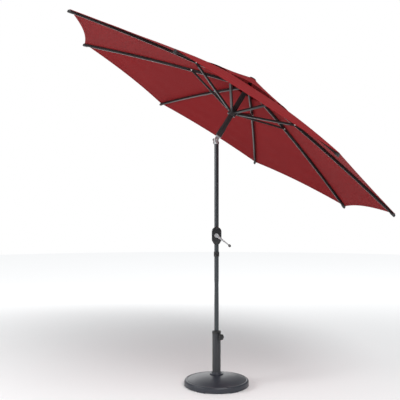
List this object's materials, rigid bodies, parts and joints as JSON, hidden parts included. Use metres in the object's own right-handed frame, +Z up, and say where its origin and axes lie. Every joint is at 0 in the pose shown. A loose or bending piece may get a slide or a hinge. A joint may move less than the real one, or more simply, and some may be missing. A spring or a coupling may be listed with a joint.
{
  "type": "patio umbrella with base",
  "caption": "Large round garden umbrella with a vented cloth canopy, crank lift, push-button tilt and a round weighted base with a clamp knob.",
  "frame": {"origin": "on the floor under the pole's axis, at the middle of the base's central foot", "axes": "+Z up along the pole; +X toward the side to which the canopy leans; +Y away from the crank's grip side"},
  "size_m": [2.1974, 2.5602, 2.5453],
  "materials": {
    "canopy_cloth": "matte",
    "black_aluminium": "satin",
    "blue_black_pole": "satin",
    "silver_knuckle": "satin",
    "bright_steel": "polished",
    "black_plastic": "matte",
    "grey_plastic": "satin",
    "charcoal_resin": "satin",
    "charcoal_steel": "satin",
    "concrete": "matte",
    "rubber": "matte"
  },
  "bodies": {
    "base": {"base_shell": "charcoal_resin", "base_ballast": "concrete", "centre_foot": "rubber", "post_tube": "charcoal_steel", "post_flange": "charcoal_resin", "post_sleeve": "black_plastic", "clamp_boss": "charcoal_steel"},
    "clamp_pad": {"clamp_pad": "rubber"},
    "clamp_knob": {"clamp_knob": "black_plastic", "clamp_screw": "bright_steel"},
    "pole_foot": {"pole_foot": "black_plastic"},
    "pole": {"lower_pole": "blue_black_pole", "coupling_collar": "black_plastic", "middle_pole": "blue_black_pole", "crank_housing_rear": "black_plastic", "crank_housing_front": "black_plastic", "knuckle_lower": "silver_knuckle", "tilt_pin": "bright_steel"},
    "crank": {"crank_arm": "grey_plastic", "cord_drum": "black_plastic"},
    "crank_grip": {"crank_grip": "black_plastic"},
    "tilt_button": {"tilt_button": "black_plastic"},
    "upper": {"knuckle_upper": "silver_knuckle", "upper_pole": "black_aluminium", "tilt_sleeve": "black_plastic", "crown_hub": "black_plastic", "crown_finial": "black_plastic"},
    "runner": {"runner_hub": "black_plastic"},
    "rib_1": {"rib_1": "black_aluminium", "canopy_1": "canopy_cloth", "vent_1": "canopy_cloth"},
    "strut_1": {"strut_1": "black_aluminium"},
    "rib_2": {"rib_2": "black_aluminium", "canopy_2": "canopy_cloth", "vent_2": "canopy_cloth"},
    "strut_2": {"strut_2": "black_aluminium"},
    "rib_3": {"rib_3": "black_aluminium", "canopy_3": "canopy_cloth", "vent_3": "canopy_cloth"},
    "strut_3": {"strut_3": "black_aluminium"},
    "rib_4": {"rib_4": "black_aluminium", "canopy_4": "canopy_cloth", "vent_4": "canopy_cloth"},
    "strut_4": {"strut_4": "black_aluminium"},
    "rib_5": {"rib_5": "black_aluminium", "canopy_5": "canopy_cloth", "vent_5": "canopy_cloth"},
    "strut_5": {"strut_5": "black_aluminium"},
    "rib_6": {"rib_6": "black_aluminium", "canopy_6": "canopy_cloth", "vent_6": "canopy_cloth"},
    "strut_6": {"strut_6": "black_aluminium"},
    "rib_7": {"rib_7": "black_aluminium", "canopy_7": "canopy_cloth", "vent_7": "canopy_cloth"},
    "strut_7": {"strut_7": "black_aluminium"},
    "rib_8": {"rib_8": "black_aluminium", "canopy_8": "canopy_cloth", "vent_8": "canopy_cloth"},
    "strut_8": {"strut_8": "black_aluminium"}
  },
  "joints": [
    {"name": "umbrella_lift", "type": "slide", "parent": "base", "child": "pole_foot", "axis": [0, 0, 1], "range_m": [0, 0.37]},
    {"name": "umbrella_turn", "type": "hinge", "parent": "pole_foot", "child": "pole", "pos_m": [0, 0, 0.02], "axis": [0, 0, 1], "continuous": true},
    {"name": "clamp_press", "type": "slide", "parent": "base", "child": "clamp_pad", "axis": [0.5736, -0.8192, 0], "range_m": [0, 0.0051]},
    {"name": "knob_turn", "type": "hinge", "parent": "clamp_pad", "child": "clamp_knob", "pos_m": [0.02294, -0.03277, 0.351], "axis": [0.5736, -0.8192, 0], "range_deg": [0, 1440]},
    {"name": "crank_turn", "type": "hinge", "parent": "pole", "child": "crank", "pos_m": [0, -0.04, 1.072], "axis": [0, -1, 0], "range_deg": [0, 1000]},
    {"name": "grip_spin", "type": "hinge", "parent": "crank", "child": "crank_grip", "pos_m": [0.08983, -0.075, 1.00181], "axis": [0, -1, 0], "continuous": true},
    {"name": "canopy_tilt", "type": "hinge", "parent": "pole", "child": "upper", "pos_m": [0, 0, 1.7613], "axis": [0, 1, 0], "range_deg": [-31.17, 8.8]},
    {"name": "button_press", "type": "slide", "parent": "pole", "child": "tilt_button", "axis": [1, 0, 0], "range_m": [0, 0.0025], "stiffness_N_per_m": 400},
    {"name": "runner_slide", "type": "slide", "parent": "upper", "child": "runner", "axis": [-0.5176, 0, -0.8556], "range_m": [0, 0.174]},
    {"name": "rib_1_fold", "type": "hinge", "parent": "upper", "child": "rib_1", "pos_m": [0.19806, -0.01683, 2.14802], "axis": [0.4114, -0.8768, -0.2489], "range_deg": [0, 14.37], "deforming": ["canopy_1", "vent_1"]},
    {"name": "strut_1_fold", "type": "hinge", "parent": "runner", "child": "strut_1", "pos_m": [0.08707, -0.0202, 1.97639], "axis": [0.4114, -0.8768, -0.2489], "range_deg": [-11.43, 0]},
    {"name": "rib_2_fold", "type": "hinge", "parent": "upper", "child": "rib_2", "pos_m": [0.19557, 0.0098, 2.14952], "axis": [-0.2396, -0.96, 0.1449], "range_deg": [0, 14.37], "deforming": ["canopy_2", "vent_2"]},
    {"name": "strut_2_fold", "type": "hinge", "parent": "runner", "child": "strut_2", "pos_m": [0.08408, 0.01176, 1.97819], "axis": [-0.2396, -0.96, 0.1449], "range_deg": [-11.43, 0]},
    {"name": "rib_3_fold", "type": "hinge", "parent": "upper", "child": "rib_3", "pos_m": [0.20992, 0.03069, 2.14084], "axis": [-0.7502, -0.4808, 0.4538], "range_deg": [0, 14.37], "deforming": ["canopy_3", "vent_3"]},
    {"name": "strut_3_fold", "type": "hinge", "parent": "runner", "child": "strut_3", "pos_m": [0.1013, 0.03683, 1.96778], "axis": [-0.7502, -0.4808, 0.4538], "range_deg": [-11.43, 0]},
    {"name": "rib_4_fold", "type": "hinge", "parent": "upper", "child": "rib_4", "pos_m": [0.2327, 0.0336, 2.12706], "axis": [-0.8214, 0.28, 0.4969], "range_deg": [0, 14.37], "deforming": ["canopy_4", "vent_4"]},
    {"name": "strut_4_fold", "type": "hinge", "parent": "runner", "child": "strut_4", "pos_m": [0.12864, 0.04032, 1.95124], "axis": [-0.8214, 0.28, 0.4969], "range_deg": [-11.43, 0]},
    {"name": "rib_5_fold", "type": "hinge", "parent": "upper", "child": "rib_5", "pos_m": [0.25058, 0.01683, 2.11625], "axis": [-0.4114, 0.8768, 0.2489], "range_deg": [0, 14.37], "deforming": ["canopy_5", "vent_5"]},
    {"name": "strut_5_fold", "type": "hinge", "parent": "runner", "child": "strut_5", "pos_m": [0.15009, 0.0202, 1.93827], "axis": [-0.4114, 0.8768, 0.2489], "range_deg": [-11.43, 0]},
    {"name": "rib_6_fold", "type": "hinge", "parent": "upper", "child": "rib_6", "pos_m": [0.25307, -0.0098, 2.11474], "axis": [0.2396, 0.96, -0.1449], "range_deg": [0, 14.37], "deforming": ["canopy_6", "vent_6"]},
    {"name": "strut_6_fold", "type": "hinge", "parent": "runner", "child": "strut_6", "pos_m": [0.15308, -0.01176, 1.93646], "axis": [0.2396, 0.96, -0.1449], "range_deg": [-11.43, 0]},
    {"name": "rib_7_fold", "type": "hinge", "parent": "upper", "child": "rib_7", "pos_m": [0.23872, -0.03069, 2.12342], "axis": [0.7502, 0.4808, -0.4538], "range_deg": [0, 14.37], "deforming": ["canopy_7", "vent_7"]},
    {"name": "strut_7_fold", "type": "hinge", "parent": "runner", "child": "strut_7", "pos_m": [0.13586, -0.03683, 1.94687], "axis": [0.7502, 0.4808, -0.4538], "range_deg": [-11.43, 0]},
    {"name": "rib_8_fold", "type": "hinge", "parent": "upper", "child": "rib_8", "pos_m": [0.21593, -0.0336, 2.1372], "axis": [0.8214, -0.28, -0.4969], "range_deg": [0, 14.37], "deforming": ["canopy_8", "vent_8"]},
    {"name": "strut_8_fold", "type": "hinge", "parent": "runner", "child": "strut_8", "pos_m": [0.10852, -0.04032, 1.96341], "axis": [0.8214, -0.28, -0.4969], "range_deg": [-11.43, 0]}
  ],
  "couplings": [
    {"joint": "clamp_press", "follows": "knob_turn", "m_per_rad": 0.00019894},
    {"joint": "crank_turn", "follows": "runner_slide", "rad_per_m": 100},
    {"joint": "rib_1_fold", "follows": "runner_slide", "rad_per_m": 1.4363},
    {"joint": "strut_1_fold", "follows": "runner_slide", "rad_per_m": -1.1419},
    {"joint": "rib_2_fold", "follows": "runner_slide", "rad_per_m": 1.4363},
    {"joint": "strut_2_fold", "follows": "runner_slide", "rad_per_m": -1.1419},
    {"joint": "rib_3_fold", "follows": "runner_slide", "rad_per_m": 1.4363},
    {"joint": "strut_3_fold", "follows": "runner_slide", "rad_per_m": -1.1419},
    {"joint": "rib_4_fold", "follows": "runner_slide", "rad_per_m": 1.4363},
    {"joint": "strut_4_fold", "follows": "runner_slide", "rad_per_m": -1.1419},
    {"joint": "rib_5_fold", "follows": "runner_slide", "rad_per_m": 1.4363},
    {"joint": "strut_5_fold", "follows": "runner_slide", "rad_per_m": -1.1419},
    {"joint": "rib_6_fold", "follows": "runner_slide", "rad_per_m": 1.4363},
    {"joint": "strut_6_fold", "follows": "runner_slide", "rad_per_m": -1.1419},
    {"joint": "rib_7_fold", "follows": "runner_slide", "rad_per_m": 1.4363},
    {"joint": "strut_7_fold", "follows": "runner_slide", "rad_per_m": -1.1419},
    {"joint": "rib_8_fold", "follows": "runner_slide", "rad_per_m": 1.4363},
    {"joint": "strut_8_fold", "follows": "runner_slide", "rad_per_m": -1.1419}
  ]
}
